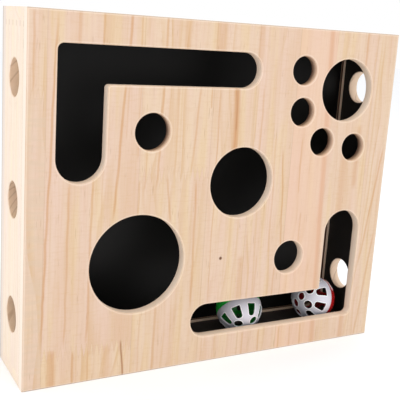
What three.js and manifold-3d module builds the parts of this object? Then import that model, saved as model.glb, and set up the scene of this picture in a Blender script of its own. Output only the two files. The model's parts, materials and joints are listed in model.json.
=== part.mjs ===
// Cat puzzle box: a shallow pine box that stands on its long edge. A paw reaches through the cut-outs of
// the front panel and bats two lattice balls, each with a small bell in it, along the bottom board.
//
// Millimetres, +Z up. The origin is the middle of the underside. The front panel looks along -Y.
import * as THREE from 'three';
import { mergeVertices } from 'three/addons/utils/BufferGeometryUtils.js';
import Module from 'manifold-3d';

// Box
const WIDTH = 350;
const HEIGHT = 298;
const DEPTH = 72;
const FRONT_THICKNESS = 9;
const BOARD_THICKNESS = 10;
const FRONT_ARRIS = 1;
const HOLE_ARRIS = 0.6;

// Rear frame and the black back that its groove holds
const REAR_FRAME_DEPTH = 10;
const REAR_STEP = 2.6;
const BACK_SETBACK = 3.7;
const BACK_THICKNESS = 3;
const GROOVE_REACH = 5;
const GROOVE_PLAY = 0.2;

// Round cut-outs of the front panel, with their centres as shares of its width and height
const SMALL_HOLE = 25.5;
const MIDDLE_HOLE = 31;
const PAW_HOLE = 56.6;
const LARGE_HOLE = 62;
const LARGEST_HOLE = 84.4;
const frontHoles = [
  { diameter: SMALL_HOLE, xShare: 0.704, zShare: 0.8765 },
  { diameter: SMALL_HOLE, xShare: 0.708, zShare: 0.7535 },
  { diameter: SMALL_HOLE, xShare: 0.7775, zShare: 0.6625 },
  { diameter: SMALL_HOLE, xShare: 0.882, zShare: 0.6445 },
  { diameter: MIDDLE_HOLE, xShare: 0.2935, zShare: 0.696 },
  { diameter: MIDDLE_HOLE, xShare: 0.704, zShare: 0.3025 },
  { diameter: PAW_HOLE, xShare: 0.8445, zShare: 0.8215 },
  { diameter: LARGE_HOLE, xShare: 0.542, zShare: 0.546 },
  { diameter: LARGEST_HOLE, xShare: 0.2715, zShare: 0.3255 },
];

// The two L-shaped cut-outs: one outline, turned half round for the lower one
const slotLengthShare = 0.5086;
const SLOT_RISE = 106.8;
const SLOT_LEVEL_WIDTH = 30;
const SLOT_UPRIGHT_WIDTH = 40;
const SLOT_OUTER_CORNER = 5;
const SLOT_INNER_CORNER = 3;
const UPPER_SLOT_SIDE_MARGIN = 23;
const UPPER_SLOT_TOP_MARGIN = 23.8;
const LOWER_SLOT_SIDE_MARGIN = 24;
const LOWER_SLOT_BOTTOM_MARGIN = 24.2;

// Side boards: three holes each, one above the other, placed by a share of the board's depth
const SIDE_HOLE = 30;
const SIDE_HOLE_PITCH = 96.2;
const leftHoleShare = 0.496;
const rightHoleShare = 0.547;
const sideHoleSteps = [-1, 0, 1];

// Lattice balls: two half shells that snap together
const BALL_RADIUS = 22;
const BALL_WALL = 1.6;
const SEAM_GAP = 0.2;
const LAP_DEPTH = 1.5;
const LAP_PLAY = 0.15;
const BALL_CLEARANCE = 0.3;
const POLE_HOLE = 6.6;
const RING_HOLE = 7.4;
const WINDOW_LENGTH = 11.2;
const WINDOW_WIDE_END = 7.4;
const WINDOW_NARROW_END = 4;
const WINDOW_CORNER = 0.9;
const ringHoleCount = 4;
const windowCount = 8;
const ringHoleColatitude = THREE.MathUtils.degToRad(28.5);
const windowColatitude = THREE.MathUtils.degToRad(56.5);

// Bell in each ball: a crimped steel sphere with a slot, a loop and a loose pellet
const BELL_RADIUS = 5.5;
const BELL_WALL = 0.5;
const BELL_SLOT = 1.4;
const BELL_SLOT_END = 2.2;
const BELL_RIM = 0.6;
const BELL_RIM_HEIGHT = 1;
const BELL_LOOP_RADIUS = 1.5;
const BELL_LOOP_WIRE = 0.5;
const PELLET_RADIUS = 1.6;
const BELL_CLEARANCE = 0.5;
const PELLET_CLEARANCE = 0.2;

// Where the balls lie, as shares of the width, and how their poles point: azimuth, then height, then spin
const balls = [
  { colour: 'green', xShare: 0.6175, azimuth: -93.5, elevation: -39.4, spin: 36.5 },
  { colour: 'red', xShare: 0.868, azimuth: -161.4, elevation: 17, spin: 32 },
];

// Fineness of the round stretches
const wideHoleSteps = 5;
const narrowHoleSteps = 3;
const frontArrisSteps = 2;
const sideArrisSteps = 1;
const shellSides = 24;
const shellSteps = 4;
const windowCornerSteps = 1;
const roundSides = 9;
const bellSides = 8;
const bellSteps = 3;
const CUT_OVERRUN = 2;

const BACK_OF_FRAME = DEPTH - REAR_FRAME_DEPTH;
const INNER_HEIGHT = HEIGHT - 2 * BOARD_THICKNESS;
const BOARD_DEPTH = BACK_OF_FRAME - FRONT_THICKNESS;
const SLOT_LENGTH = WIDTH * slotLengthShare;

const X = new THREE.Vector3(1, 0, 0);
const Y = new THREE.Vector3(0, 1, 0);
const Z = new THREE.Vector3(0, 0, 1);

const wasm = await Module();
wasm.setup();

// Closed solid of a geometry. Lathes leave slivers on their axis, and these are dropped.
function solidOf(geometry) {
  const bare = geometry.clone();
  bare.deleteAttribute('normal');
  bare.deleteAttribute('uv');
  const merged = mergeVertices(bare);
  const triangles = [];
  const corners = merged.index.array;
  for (let i = 0; i < corners.length; i += 3) {
    const [a, b, c] = corners.slice(i, i + 3);
    if (a !== b && b !== c && c !== a) {
      triangles.push(a, b, c);
    }
  }
  const mesh = new wasm.Mesh({
    numProp: 3,
    vertProperties: new Float32Array(merged.attributes.position.array),
    triVerts: new Uint32Array(triangles),
  });
  return new wasm.Manifold(mesh);
}

function geometryOf(solid) {
  const { vertProperties, triVerts } = solid.getMesh();
  const geometry = new THREE.BufferGeometry();
  geometry.setAttribute('position', new THREE.BufferAttribute(vertProperties, 3));
  geometry.setIndex(new THREE.BufferAttribute(triVerts, 1));
  const flat = geometry.toNonIndexed();
  flat.computeVertexNormals();
  return flat;
}

// Materials
const pine = (color) => new THREE.MeshStandardMaterial({ color, roughness: 0.6, metalness: 0 });
const plastic = (color) => new THREE.MeshStandardMaterial({ color, roughness: 0.3, metalness: 0 });
const blackBoard = () => new THREE.MeshStandardMaterial({ color: 0x131211, roughness: 0.45, metalness: 0 });
const steel = () => new THREE.MeshStandardMaterial({ color: 0xc9c6bd, roughness: 0.25, metalness: 1 });
const pineTone = { front: 0xe6c8a6, edge: 0xf2dfc8, rail: 0xdab994 };
const plasticTone = { white: 0xe4e4ea, green: 0x147a26, red: 0x9c1616 };

function mesh(name, geometry, material) {
  const part = new THREE.Mesh(geometry, material);
  part.name = name;
  return part;
}

// Turns an object so that its own X, Y and Z lie along the given directions
function orient(object, x, y, z) {
  object.quaternion.setFromRotationMatrix(new THREE.Matrix4().makeBasis(x, y, z));
  return object;
}

// Outline through corners [x, y, radius], each rounded by its own radius
function roundedOutline(corners) {
  const outline = new THREE.Shape();
  corners.forEach(([x, y, radius], i) => {
    const corner = new THREE.Vector2(x, y);
    const before = new THREE.Vector2(...corners.at(i - 1)).sub(corner).normalize();
    const after = new THREE.Vector2(...corners[(i + 1) % corners.length]).sub(corner).normalize();
    const half = Math.acos(THREE.MathUtils.clamp(before.dot(after), -1, 1)) / 2;
    const middle = before.clone().add(after).normalize();
    const centre = corner.clone().addScaledVector(middle, radius / Math.sin(half));
    const start = corner.clone().addScaledVector(before, radius / Math.tan(half)).sub(centre);
    const end = corner.clone().addScaledVector(after, radius / Math.tan(half)).sub(centre);
    const clockwise = before.cross(after) > 0;
    outline.absarc(centre.x, centre.y, radius, start.angle(), end.angle(), clockwise);
  });
  return outline;
}

function rectangle(width, height, inset = 0) {
  const outline = new THREE.Shape();
  outline.moveTo(inset, inset);
  outline.lineTo(width - inset, inset);
  outline.lineTo(width - inset, height - inset);
  outline.lineTo(inset, height - inset);
  outline.closePath();
  return outline;
}

function roundHole(x, y, diameter) {
  const radius = diameter / 2;
  return roundedOutline([
    [x - radius, y - radius, radius],
    [x + radius, y - radius, radius],
    [x + radius, y + radius, radius],
    [x - radius, y + radius, radius],
  ]);
}

// L-shaped cut-out from its outer corner, with full-round ends
function slotOutline(x, y, alongX, alongY) {
  const corners = [
    [0, 0, SLOT_OUTER_CORNER],
    [SLOT_LENGTH, 0, SLOT_LEVEL_WIDTH / 2],
    [SLOT_LENGTH, SLOT_LEVEL_WIDTH, SLOT_LEVEL_WIDTH / 2],
    [SLOT_UPRIGHT_WIDTH, SLOT_LEVEL_WIDTH, SLOT_INNER_CORNER],
    [SLOT_UPRIGHT_WIDTH, SLOT_RISE, SLOT_UPRIGHT_WIDTH / 2],
    [0, SLOT_RISE, SLOT_UPRIGHT_WIDTH / 2],
  ];
  return roundedOutline(corners.map(([u, v, radius]) => [x + alongX * u, y + alongY * v, radius]));
}

// Board lying in its own XY plane, 0 to thickness along Z. Every cut-out has a rounded arris on both
// faces. The outer edge is square up to squareTo, where it meets other boards, and rounded above.
// Each cut is an outline with the fineness of its arcs.
function cutBoard({ width, height, thickness, arris, arrisSteps, squareTo, cuts }) {
  const rounded = {
    depth: thickness - 2 * arris,
    bevelThickness: arris,
    bevelSize: arris,
    bevelOffset: -arris,
    bevelSegments: arrisSteps,
  };
  const withOneCut = ([cut, curveSegments]) => {
    const outline = rectangle(width, height);
    outline.holes.push(cut);
    const slab = new THREE.ExtrudeGeometry(outline, { ...rounded, curveSegments });
    return solidOf(slab.translate(0, 0, arris));
  };
  const border = rectangle(width, height);
  border.holes.push(rectangle(width, height, BOARD_THICKNESS / 2));
  const edge = solidOf(new THREE.ExtrudeGeometry(border, { depth: squareTo, bevelEnabled: false }));
  const panel = cuts.map(withOneCut).reduce((whole, next) => whole.intersect(next));
  return geometryOf(panel.add(edge));
}

function frontPanel() {
  const upperSlot = slotOutline(UPPER_SLOT_SIDE_MARGIN, HEIGHT - UPPER_SLOT_TOP_MARGIN, 1, -1);
  const lowerSlot = slotOutline(WIDTH - LOWER_SLOT_SIDE_MARGIN, LOWER_SLOT_BOTTOM_MARGIN, -1, 1);
  const cuts = frontHoles.map(({ diameter, xShare, zShare }) => [
    roundHole(WIDTH * xShare, HEIGHT * zShare, diameter),
    diameter > SLOT_UPRIGHT_WIDTH ? wideHoleSteps : narrowHoleSteps,
  ]);
  cuts.push([upperSlot, narrowHoleSteps], [lowerSlot, narrowHoleSteps]);
  const geometry = cutBoard({
    width: WIDTH,
    height: HEIGHT,
    thickness: FRONT_THICKNESS,
    arris: FRONT_ARRIS,
    arrisSteps: frontArrisSteps,
    squareTo: FRONT_THICKNESS - FRONT_ARRIS,
    cuts,
  });
  const panel = mesh('front_panel', geometry, pine(pineTone.front));
  orient(panel, X, Z, Y.clone().negate());
  panel.position.y = FRONT_THICKNESS;
  return panel;
}

// Side board between the top and bottom boards, drilled with a column of holes
function sideBoard(name, x, holeShare) {
  const cuts = sideHoleSteps.map((step) => [
    roundHole(BOARD_DEPTH * holeShare, INNER_HEIGHT / 2 + step * SIDE_HOLE_PITCH, SIDE_HOLE),
    narrowHoleSteps,
  ]);
  const geometry = cutBoard({
    width: BOARD_DEPTH,
    height: INNER_HEIGHT,
    thickness: BOARD_THICKNESS,
    arris: HOLE_ARRIS,
    arrisSteps: sideArrisSteps,
    squareTo: BOARD_THICKNESS,
    cuts,
  });
  const board = mesh(name, geometry, pine(pineTone.edge));
  orient(board, Y, Z, X);
  board.position.set(x, FRONT_THICKNESS, BOARD_THICKNESS);
  return board;
}

// Board over the full width, at the top or the bottom
function levelBoard(name, z) {
  const geometry = new THREE.BoxGeometry(WIDTH, BOARD_DEPTH, BOARD_THICKNESS);
  geometry.translate(WIDTH / 2, FRONT_THICKNESS + BOARD_DEPTH / 2, z + BOARD_THICKNESS / 2);
  return mesh(name, geometry, pine(pineTone.edge));
}

// Rear frame. Its rails are wider than the boards in front, so they show inside the box as a step.
const RAIL_WIDTH = BOARD_THICKNESS + REAR_STEP;
const GROOVE_WIDTH = BACK_THICKNESS + 2 * GROOVE_PLAY;
const GROOVE_FRONT = BACK_SETBACK - GROOVE_PLAY;
const GROOVE_FLOOR = RAIL_WIDTH - GROOVE_REACH;

// Rail section: own X runs inwards from the outer face, own Y runs back, with the groove on the inner face
function railSection() {
  const outline = new THREE.Shape();
  outline.moveTo(0, 0);
  outline.lineTo(RAIL_WIDTH, 0);
  outline.lineTo(RAIL_WIDTH, GROOVE_FRONT);
  outline.lineTo(GROOVE_FLOOR, GROOVE_FRONT);
  outline.lineTo(GROOVE_FLOOR, GROOVE_FRONT + GROOVE_WIDTH);
  outline.lineTo(RAIL_WIDTH, GROOVE_FRONT + GROOVE_WIDTH);
  outline.lineTo(RAIL_WIDTH, REAR_FRAME_DEPTH);
  outline.lineTo(0, REAR_FRAME_DEPTH);
  outline.closePath();
  return outline;
}

// Upright at one side, over the full height
function rearStile(name, x, inwards, z) {
  const geometry = new THREE.ExtrudeGeometry(railSection(), { depth: HEIGHT, bevelEnabled: false });
  const stile = mesh(name, geometry, pine(pineTone.rail));
  orient(stile, inwards, Y, inwards.clone().cross(Y));
  stile.position.set(x, BACK_OF_FRAME, z);
  return stile;
}

// Rail between the stiles, with a stub tenon at each end that fills the stile's groove
function rearRail(name, z, inwards, x) {
  const length = WIDTH - 2 * RAIL_WIDTH;
  const tenonLength = GROOVE_REACH - GROOVE_PLAY;
  const tenonThickness = GROOVE_WIDTH - 2 * GROOVE_PLAY;
  const rail = new THREE.ExtrudeGeometry(railSection(), { depth: length, bevelEnabled: false });
  const tenon = new THREE.BoxGeometry(GROOVE_FLOOR, tenonThickness, length + 2 * tenonLength);
  tenon.translate(GROOVE_FLOOR / 2, GROOVE_FRONT + GROOVE_WIDTH / 2, length / 2);
  const part = mesh(name, geometryOf(solidOf(rail).add(solidOf(tenon))), pine(pineTone.rail));
  orient(part, inwards, Y, inwards.clone().cross(Y));
  part.position.set(x, BACK_OF_FRAME, z);
  return part;
}

function backPanel() {
  const edge = GROOVE_FLOOR + GROOVE_PLAY;
  const geometry = new THREE.BoxGeometry(WIDTH - 2 * edge, BACK_THICKNESS, HEIGHT - 2 * edge);
  geometry.translate(WIDTH / 2, BACK_OF_FRAME + BACK_SETBACK + BACK_THICKNESS / 2, HEIGHT / 2);
  return mesh('back_panel', geometry, blackBoard());
}

// Points on a circle about the origin, between two heights of arc measured from the equator
function arc(radius, from, to, steps) {
  return Array.from({ length: steps + 1 }, (_, i) => {
    const angle = THREE.MathUtils.lerp(from, to, i / steps);
    return new THREE.Vector2(radius * Math.cos(angle), radius * Math.sin(angle));
  });
}

// Solid of revolution about Z, from a profile of (radius, height) that starts and ends on the axis
function revolved(profile, sides) {
  const clean = profile.map(({ x, y }, i) =>
    new THREE.Vector2(i === 0 || i === profile.length - 1 ? 0 : x, y));
  return solidOf(new THREE.LatheGeometry(clean, sides).rotateX(Math.PI / 2));
}

// Half of a ball, with its pole on +Z. The white half has a tongue that laps inside the coloured half.
function halfShell(hasTongue) {
  const pole = Math.PI / 2;
  const innerRadius = BALL_RADIUS - BALL_WALL;
  const lapRadius = BALL_RADIUS - BALL_WALL / 2;
  const lip = SEAM_GAP / 2;
  const socketDepth = LAP_DEPTH + SEAM_GAP;
  const tongue = [
    new THREE.Vector2(innerRadius, 0),
    new THREE.Vector2(innerRadius, -LAP_DEPTH),
    new THREE.Vector2(lapRadius - LAP_PLAY, -LAP_DEPTH),
    new THREE.Vector2(lapRadius - LAP_PLAY, lip),
  ];
  const socket = [
    new THREE.Vector2(lapRadius, socketDepth),
    new THREE.Vector2(lapRadius, lip),
  ];
  const innerStart = hasTongue ? 0 : Math.asin(socketDepth / innerRadius);
  const profile = [
    ...arc(innerRadius, pole, innerStart, shellSteps).slice(0, hasTongue ? -1 : undefined),
    ...(hasTongue ? tongue : socket),
    ...arc(BALL_RADIUS, Math.asin(lip / BALL_RADIUS), pole, shellSteps),
  ];
  const cutters = [radialHole(POLE_HOLE, 0, 0)];
  for (let i = 0; i < windowCount; i += 1) {
    cutters.push(radialWindow(windowColatitude, (i / windowCount) * 2 * Math.PI));
  }
  for (let i = 0; i < ringHoleCount; i += 1) {
    const betweenWindows = (i / ringHoleCount + 0.5 / windowCount) * 2 * Math.PI;
    cutters.push(radialHole(RING_HOLE, ringHoleColatitude, betweenWindows));
  }
  const shell = revolved(profile, shellSides);
  return cutters.reduce((whole, cutter) => whole.subtract(cutter), shell);
}

// Places a cutter that stands on its own Z so that it pierces the ball's wall from the centre outwards,
// with its own Y towards the pole
function pierce(cutter, colatitude, azimuth) {
  const outwards = new THREE.Vector3().setFromSphericalCoords(1, colatitude, azimuth);
  const radial = new THREE.Vector3(outwards.z, outwards.x, outwards.y);
  const towardsPole = new THREE.Vector3(0, 0, 1).addScaledVector(radial, -radial.z);
  const up = towardsPole.lengthSq() > 0 ? towardsPole.normalize() : Y.clone();
  const across = up.clone().cross(radial);
  cutter.applyMatrix4(new THREE.Matrix4().makeBasis(across, up, radial));
  return solidOf(cutter);
}

function radialHole(diameter, colatitude, azimuth) {
  const length = BALL_WALL + 2 * CUT_OVERRUN;
  const cutter = new THREE.CylinderGeometry(diameter / 2, diameter / 2, length, roundSides);
  cutter.rotateX(Math.PI / 2);
  cutter.translate(0, 0, BALL_RADIUS - BALL_WALL / 2);
  return pierce(cutter, colatitude, azimuth);
}

// Window that narrows towards the pole
function radialWindow(colatitude, azimuth) {
  const wide = WINDOW_WIDE_END / 2;
  const narrow = WINDOW_NARROW_END / 2;
  const half = WINDOW_LENGTH / 2;
  const outline = roundedOutline([
    [-wide, -half, WINDOW_CORNER],
    [wide, -half, WINDOW_CORNER],
    [narrow, half, WINDOW_CORNER],
    [-narrow, half, WINDOW_CORNER],
  ]);
  const depth = BALL_WALL + 2 * CUT_OVERRUN;
  const cutter = new THREE.ExtrudeGeometry(outline,
    { depth, bevelEnabled: false, curveSegments: windowCornerSteps });
  cutter.translate(0, 0, BALL_RADIUS - BALL_WALL - CUT_OVERRUN);
  return pierce(cutter, colatitude, azimuth);
}

// Small bell: two crimped cups with a rim, a slot that ends in two round holes, and a wire loop on top
function bell() {
  const half = Math.PI / 2;
  const outer = revolved(arc(BELL_RADIUS, -half, half, 2 * bellSteps), bellSides);
  const inner = revolved(arc(BELL_RADIUS - BELL_WALL, -half, half, 2 * bellSteps), bellSides);
  const rimRadius = BELL_RADIUS + BELL_RIM;
  const rim = new THREE.CylinderGeometry(rimRadius, rimRadius, BELL_RIM_HEIGHT, bellSides);
  rim.rotateX(Math.PI / 2);
  const loop = new THREE.TorusGeometry(BELL_LOOP_RADIUS, BELL_LOOP_WIRE, bellSteps, roundSides);
  loop.rotateX(Math.PI / 2);
  loop.translate(0, 0, BELL_RADIUS + BELL_LOOP_RADIUS - BELL_LOOP_WIRE);
  const slot = new THREE.BoxGeometry(2 * BELL_RADIUS, BELL_SLOT, BELL_RADIUS);
  slot.translate(0, 0, -BELL_RADIUS);
  const ends = new THREE.CylinderGeometry(BELL_SLOT_END / 2, BELL_SLOT_END / 2, 3 * BELL_RADIUS, roundSides);
  ends.rotateZ(Math.PI / 2);
  ends.translate(0, 0, -BELL_RADIUS / 2);
  return geometryOf(outer.add(solidOf(rim)).subtract(inner).add(solidOf(loop).subtract(inner))
    .subtract(solidOf(slot)).subtract(solidOf(ends)));
}

// One ball with its bell. The ball stands clear behind the front panel, on the bottom board.
function ball({ colour, xShare, azimuth, elevation, spin }) {
  const group = new THREE.Group();
  group.position.set(
    WIDTH * xShare,
    FRONT_THICKNESS + BALL_CLEARANCE + BALL_RADIUS,
    BOARD_THICKNESS + BALL_CLEARANCE + BALL_RADIUS,
  );
  const turned = new THREE.Group();
  turned.rotation.order = 'ZYX';
  turned.rotation.set(0, THREE.MathUtils.degToRad(90 - elevation), THREE.MathUtils.degToRad(azimuth));
  const white = mesh(`${colour}_ball_white_half`, geometryOf(halfShell(true)), plastic(plasticTone.white));
  const coloured = mesh(`${colour}_ball_${colour}_half`, geometryOf(halfShell(false)),
    plastic(plasticTone[colour]));
  white.rotation.z = THREE.MathUtils.degToRad(spin);
  coloured.rotation.set(Math.PI, 0, -THREE.MathUtils.degToRad(spin));
  turned.add(white, coloured);
  const sphere = mesh(`${colour}_ball_bell`, bell(), steel());
  sphere.position.z = BELL_RADIUS + BELL_CLEARANCE - (BALL_RADIUS - BALL_WALL);
  const pellet = mesh(`${colour}_ball_pellet`,
    new THREE.SphereGeometry(PELLET_RADIUS, roundSides, bellSteps), steel());
  pellet.position.z = sphere.position.z + PELLET_RADIUS + PELLET_CLEARANCE - (BELL_RADIUS - BELL_WALL);
  group.add(turned, sphere, pellet);
  return group;
}

const box = new THREE.Group();
box.name = 'cat_puzzle_box';
box.position.set(-WIDTH / 2, -DEPTH / 2, 0);
box.add(
  frontPanel(),
  levelBoard('bottom_board', 0),
  levelBoard('top_board', HEIGHT - BOARD_THICKNESS),
  sideBoard('left_side_board', 0, leftHoleShare),
  sideBoard('right_side_board', WIDTH - BOARD_THICKNESS, rightHoleShare),
  rearStile('rear_stile_left', 0, X, 0),
  rearStile('rear_stile_right', WIDTH, X.clone().negate(), HEIGHT),
  rearRail('rear_rail_bottom', 0, Z, WIDTH - RAIL_WIDTH),
  rearRail('rear_rail_top', HEIGHT, Z.clone().negate(), RAIL_WIDTH),
  backPanel(),
  ...balls.map(ball),
);

const part = new THREE.Group();
part.add(box);
part.updateMatrixWorld(true);

export default part;
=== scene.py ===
# %% [markdown]
# # A cat's puzzle box in pine
#
# The object is a shallow box that stands on its long edge. Its front is a pine panel with round and
# L-shaped cut-outs, its sides have round holes, and two lattice balls with bells roll inside.
# The measured model gives every position. This lesson adds the finishes, a finer front panel, finer
# balls and a studio.
# Lengths are in millimetres from the front panel's lower left corner, and are turned to metres once.

import json
import math

import bmesh
import bpy
from mathutils import Matrix, Vector

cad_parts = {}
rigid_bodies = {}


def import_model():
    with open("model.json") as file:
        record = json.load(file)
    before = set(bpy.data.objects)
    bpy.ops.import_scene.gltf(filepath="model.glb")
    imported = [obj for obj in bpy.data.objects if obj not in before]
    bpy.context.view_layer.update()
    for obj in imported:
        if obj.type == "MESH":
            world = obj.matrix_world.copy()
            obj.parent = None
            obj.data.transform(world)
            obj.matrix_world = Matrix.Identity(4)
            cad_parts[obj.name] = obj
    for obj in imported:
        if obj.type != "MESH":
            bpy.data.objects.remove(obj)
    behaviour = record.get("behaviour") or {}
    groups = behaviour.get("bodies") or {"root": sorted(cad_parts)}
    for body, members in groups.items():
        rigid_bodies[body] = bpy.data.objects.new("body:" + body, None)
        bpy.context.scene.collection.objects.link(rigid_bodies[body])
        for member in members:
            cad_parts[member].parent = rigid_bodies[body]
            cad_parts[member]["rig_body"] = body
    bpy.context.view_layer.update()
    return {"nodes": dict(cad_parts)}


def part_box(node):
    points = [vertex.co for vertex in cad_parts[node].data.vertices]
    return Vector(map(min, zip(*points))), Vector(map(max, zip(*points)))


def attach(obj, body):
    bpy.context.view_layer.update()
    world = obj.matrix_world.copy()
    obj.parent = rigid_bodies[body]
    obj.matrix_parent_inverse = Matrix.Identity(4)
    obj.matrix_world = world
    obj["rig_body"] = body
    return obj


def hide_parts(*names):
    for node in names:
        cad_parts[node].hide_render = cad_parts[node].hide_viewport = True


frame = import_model()
nodes = frame["nodes"]
print("nodes:", len(nodes))

MM = 0.001
WIDTH, DEPTH, HEIGHT = 350.0, 72.0, 298.0
FRONT_THICKNESS, BOARD_THICKNESS, REAR_FRAME_DEPTH = 9.0, 10.0, 10.0
CORNER = Vector((-WIDTH / 2, -DEPTH / 2, 0.0)) * MM

# %% [markdown]
# ## The camera
#
# A photographer stood to the left of the box and a little above its middle. The camera was found from
# the box's corners and round holes, so it is set by its three directions and not by a target point.

# %% Camera
scene = bpy.context.scene
lens = bpy.data.cameras.new("camera")
lens.sensor_width = 36.0
lens.lens = 67.615
lens.shift_x = -0.04335
lens.shift_y = -0.02578
camera = bpy.data.objects.new("camera", lens)
right = Vector((0.872221, -0.484292, 0.068498))
up = Vector((0.042429, 0.214435, 0.975816))
back = Vector((-0.487268, -0.848221, 0.207583))
place = Vector((-0.32278, -0.58131, 0.29101))
camera.matrix_world = Matrix(
    [[right[i], up[i], back[i], place[i]] for i in range(3)] + [[0, 0, 0, 1]]
)
scene.collection.objects.link(camera)
scene.camera = camera
print("camera at", [round(v, 3) for v in place])

# %% [markdown]
# ## Studio
#
# The picture is a cut-out on white with hardly a shadow: a big soft light on the left, which makes the
# side board the brightest face, one above, and white all round. The floor is a plain pale sheet.

# %% Studio
scene.view_settings.view_transform = "Standard"
scene.view_settings.look = "None"

world = bpy.data.worlds.new("studio")
world.use_nodes = True
world.node_tree.nodes["Background"].inputs["Color"].default_value = (1.0, 1.0, 1.0, 1.0)
world.node_tree.nodes["Background"].inputs["Strength"].default_value = 1.0
scene.world = world


def soft_light(name, place, target, size, power):
    """A square area light that looks at a target, all in metres."""
    data = bpy.data.lights.new(name, "AREA")
    data.shape = "SQUARE"
    data.size = size
    data.energy = power
    light = bpy.data.objects.new(name, data)
    light.location = place
    light.rotation_euler = (Vector(target) - Vector(place)).to_track_quat("-Z", "Y").to_euler()
    scene.collection.objects.link(light)


soft_light("left_light", (-1.6, -0.5, 0.9), (0, 0, 0.15), 1.2, 5)
soft_light("top_light", (0.2, -0.9, 2.2), (0, 0, 0.1), 1.5, 14)

bm = bmesh.new()
bmesh.ops.create_grid(bm, x_segments=1, y_segments=1, size=6.0)
floor_mesh = bpy.data.meshes.new("floor")
bm.to_mesh(floor_mesh)
bm.free()
floor = bpy.data.objects.new("floor", floor_mesh)
scene.collection.objects.link(floor)

# %% [markdown]
# ## Writing finishes as sums
#
# A wood finish is arithmetic on a position: which stave, how far from the tree's heart, how dark.
# `Number` wraps one output of a node, so that such sums read as sums. `Finish` holds a material and has
# one method for every other node.


# %% Number and Finish
class Number:
    """A number that changes over a surface."""

    def __init__(self, finish, socket):
        self.finish = finish
        self.socket = socket

    def __add__(self, other):
        return self.finish.math("ADD", self, other)

    def __sub__(self, other):
        return self.finish.math("SUBTRACT", self, other)

    def __rsub__(self, other):
        return self.finish.math("SUBTRACT", other, self)

    def __mul__(self, other):
        return self.finish.math("MULTIPLY", self, other)

    def __truediv__(self, other):
        return self.finish.math("DIVIDE", self, other)

    __radd__ = __add__
    __rmul__ = __mul__


class Finish:
    """A material with a Principled shader, and the sums that drive it."""

    def __init__(self, name, roughness=0.5, metallic=0.0, coat=0.0):
        self.material = bpy.data.materials.new(name)
        self.material.use_nodes = True
        self.tree = self.material.node_tree
        self.shader = self.tree.nodes["Principled BSDF"]
        self.set("Roughness", roughness)
        self.set("Metallic", metallic)
        self.set("Coat Weight", coat)
        position = self.node("ShaderNodeTexCoord", output="Object")
        metres = [self.node("ShaderNodeSeparateXYZ", {"Vector": position}, output=a) for a in "XYZ"]
        self.x = metres[0] * 1000 + WIDTH / 2
        self.y = metres[1] * 1000 + DEPTH / 2
        self.z = metres[2] * 1000

    def node(self, kind, inputs=None, output=0, **settings):
        """Adds a node, with its settings first, and returns one of its outputs."""
        made = self.tree.nodes.new(kind)
        for key, value in settings.items():
            setattr(made, key, value)
        for key, value in (inputs or {}).items():
            socket = made.inputs[key] if isinstance(key, int) else self.named(made.inputs, key)
            self.feed(socket, value)
        socket = made.outputs[output] if isinstance(output, int) else self.named(made.outputs, output)
        return Number(self, socket)

    def named(self, sockets, name):
        """The socket of that name that the node's settings leave in use."""
        return next(s for s in sockets if s.name == name and s.enabled)

    def feed(self, socket, value):
        """Links a value that changes to a socket, or sets a constant on it."""
        if isinstance(value, Number):
            self.tree.links.new(value.socket, socket)
        else:
            socket.default_value = value

    def set(self, name, value):
        """Feeds one socket of the shader."""
        self.feed(self.shader.inputs[name], value)

    def math(self, operation, *terms):
        """One operation on numbers."""
        return self.node("ShaderNodeMath", dict(enumerate(terms)), operation=operation)

    def step(self, value, low, high):
        """0 below low, 1 above high, smooth between."""
        ends = {"Value": value, "From Min": low, "From Max": high}
        return self.node("ShaderNodeMapRange", ends, interpolation_type="SMOOTHSTEP")

    def fall(self, value, low, high):
        """1 below low, 0 above high, smooth between."""
        return 1 - self.step(value, low, high)

    def between(self, value, low, high, soft):
        """1 between two values, 0 beyond them, with soft ends."""
        return self.step(value, low, low + soft) * self.fall(value, high - soft, high)

    def distance(self, x, z):
        """How far a point lies from a place on the front panel."""
        across = self.x - x
        up = self.z - z
        return self.math("SQRT", across * across + up * up)

    def mix(self, factor, first, second):
        """A colour between two others."""
        ends = {"Factor": factor, "A": first, "B": second}
        return self.node("ShaderNodeMix", ends, output="Result", data_type="RGBA")

    def vector(self, x, y, z):
        """Three numbers as one place."""
        return self.node("ShaderNodeCombineXYZ", {"X": x, "Y": y, "Z": z})

    def noise(self, x, y, z, scale=1.0, detail=2.0):
        """Cloudy noise about 0.5 at a place given by three numbers."""
        ends = {"Vector": self.vector(x, y, z), "Scale": scale, "Detail": detail}
        return self.node("ShaderNodeTexNoise", ends)

    def chance(self, value):
        """An even random number from 0 to 1 for each whole value."""
        return self.node("ShaderNodeTexWhiteNoise", {"W": value}, noise_dimensions="1D")

    def relief(self, height, strength, distance):
        """A fine bump, whose distance is in metres."""
        ends = {"Height": height, "Strength": strength, "Distance": distance}
        self.set("Normal", self.node("ShaderNodeBump", ends))


print("sums:", [name for name in vars(Finish) if not name.startswith("_")])


# %% Tones and the floor
def tone(red, green, blue):
    """A colour as a screen shows it, 0 to 255, as the linear values that a shader takes."""
    linear = []
    for part in (red, green, blue):
        share = part / 255
        linear.append(share / 12.92 if share <= 0.04045 else ((share + 0.055) / 1.055) ** 2.4)
    return (*linear, 1.0)


FLOOR, FLOOR_PALE = (248, 250, 253), (251, 252, 254)
backdrop = Finish("pale_floor", roughness=0.9)
speck = backdrop.noise(backdrop.x, backdrop.y, backdrop.z, scale=0.02)
backdrop.set("Base Color", backdrop.mix(speck, tone(*FLOOR), tone(*FLOOR_PALE)))
floor_mesh.materials.append(backdrop.material)
print("finishes:", len(bpy.data.materials))

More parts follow.
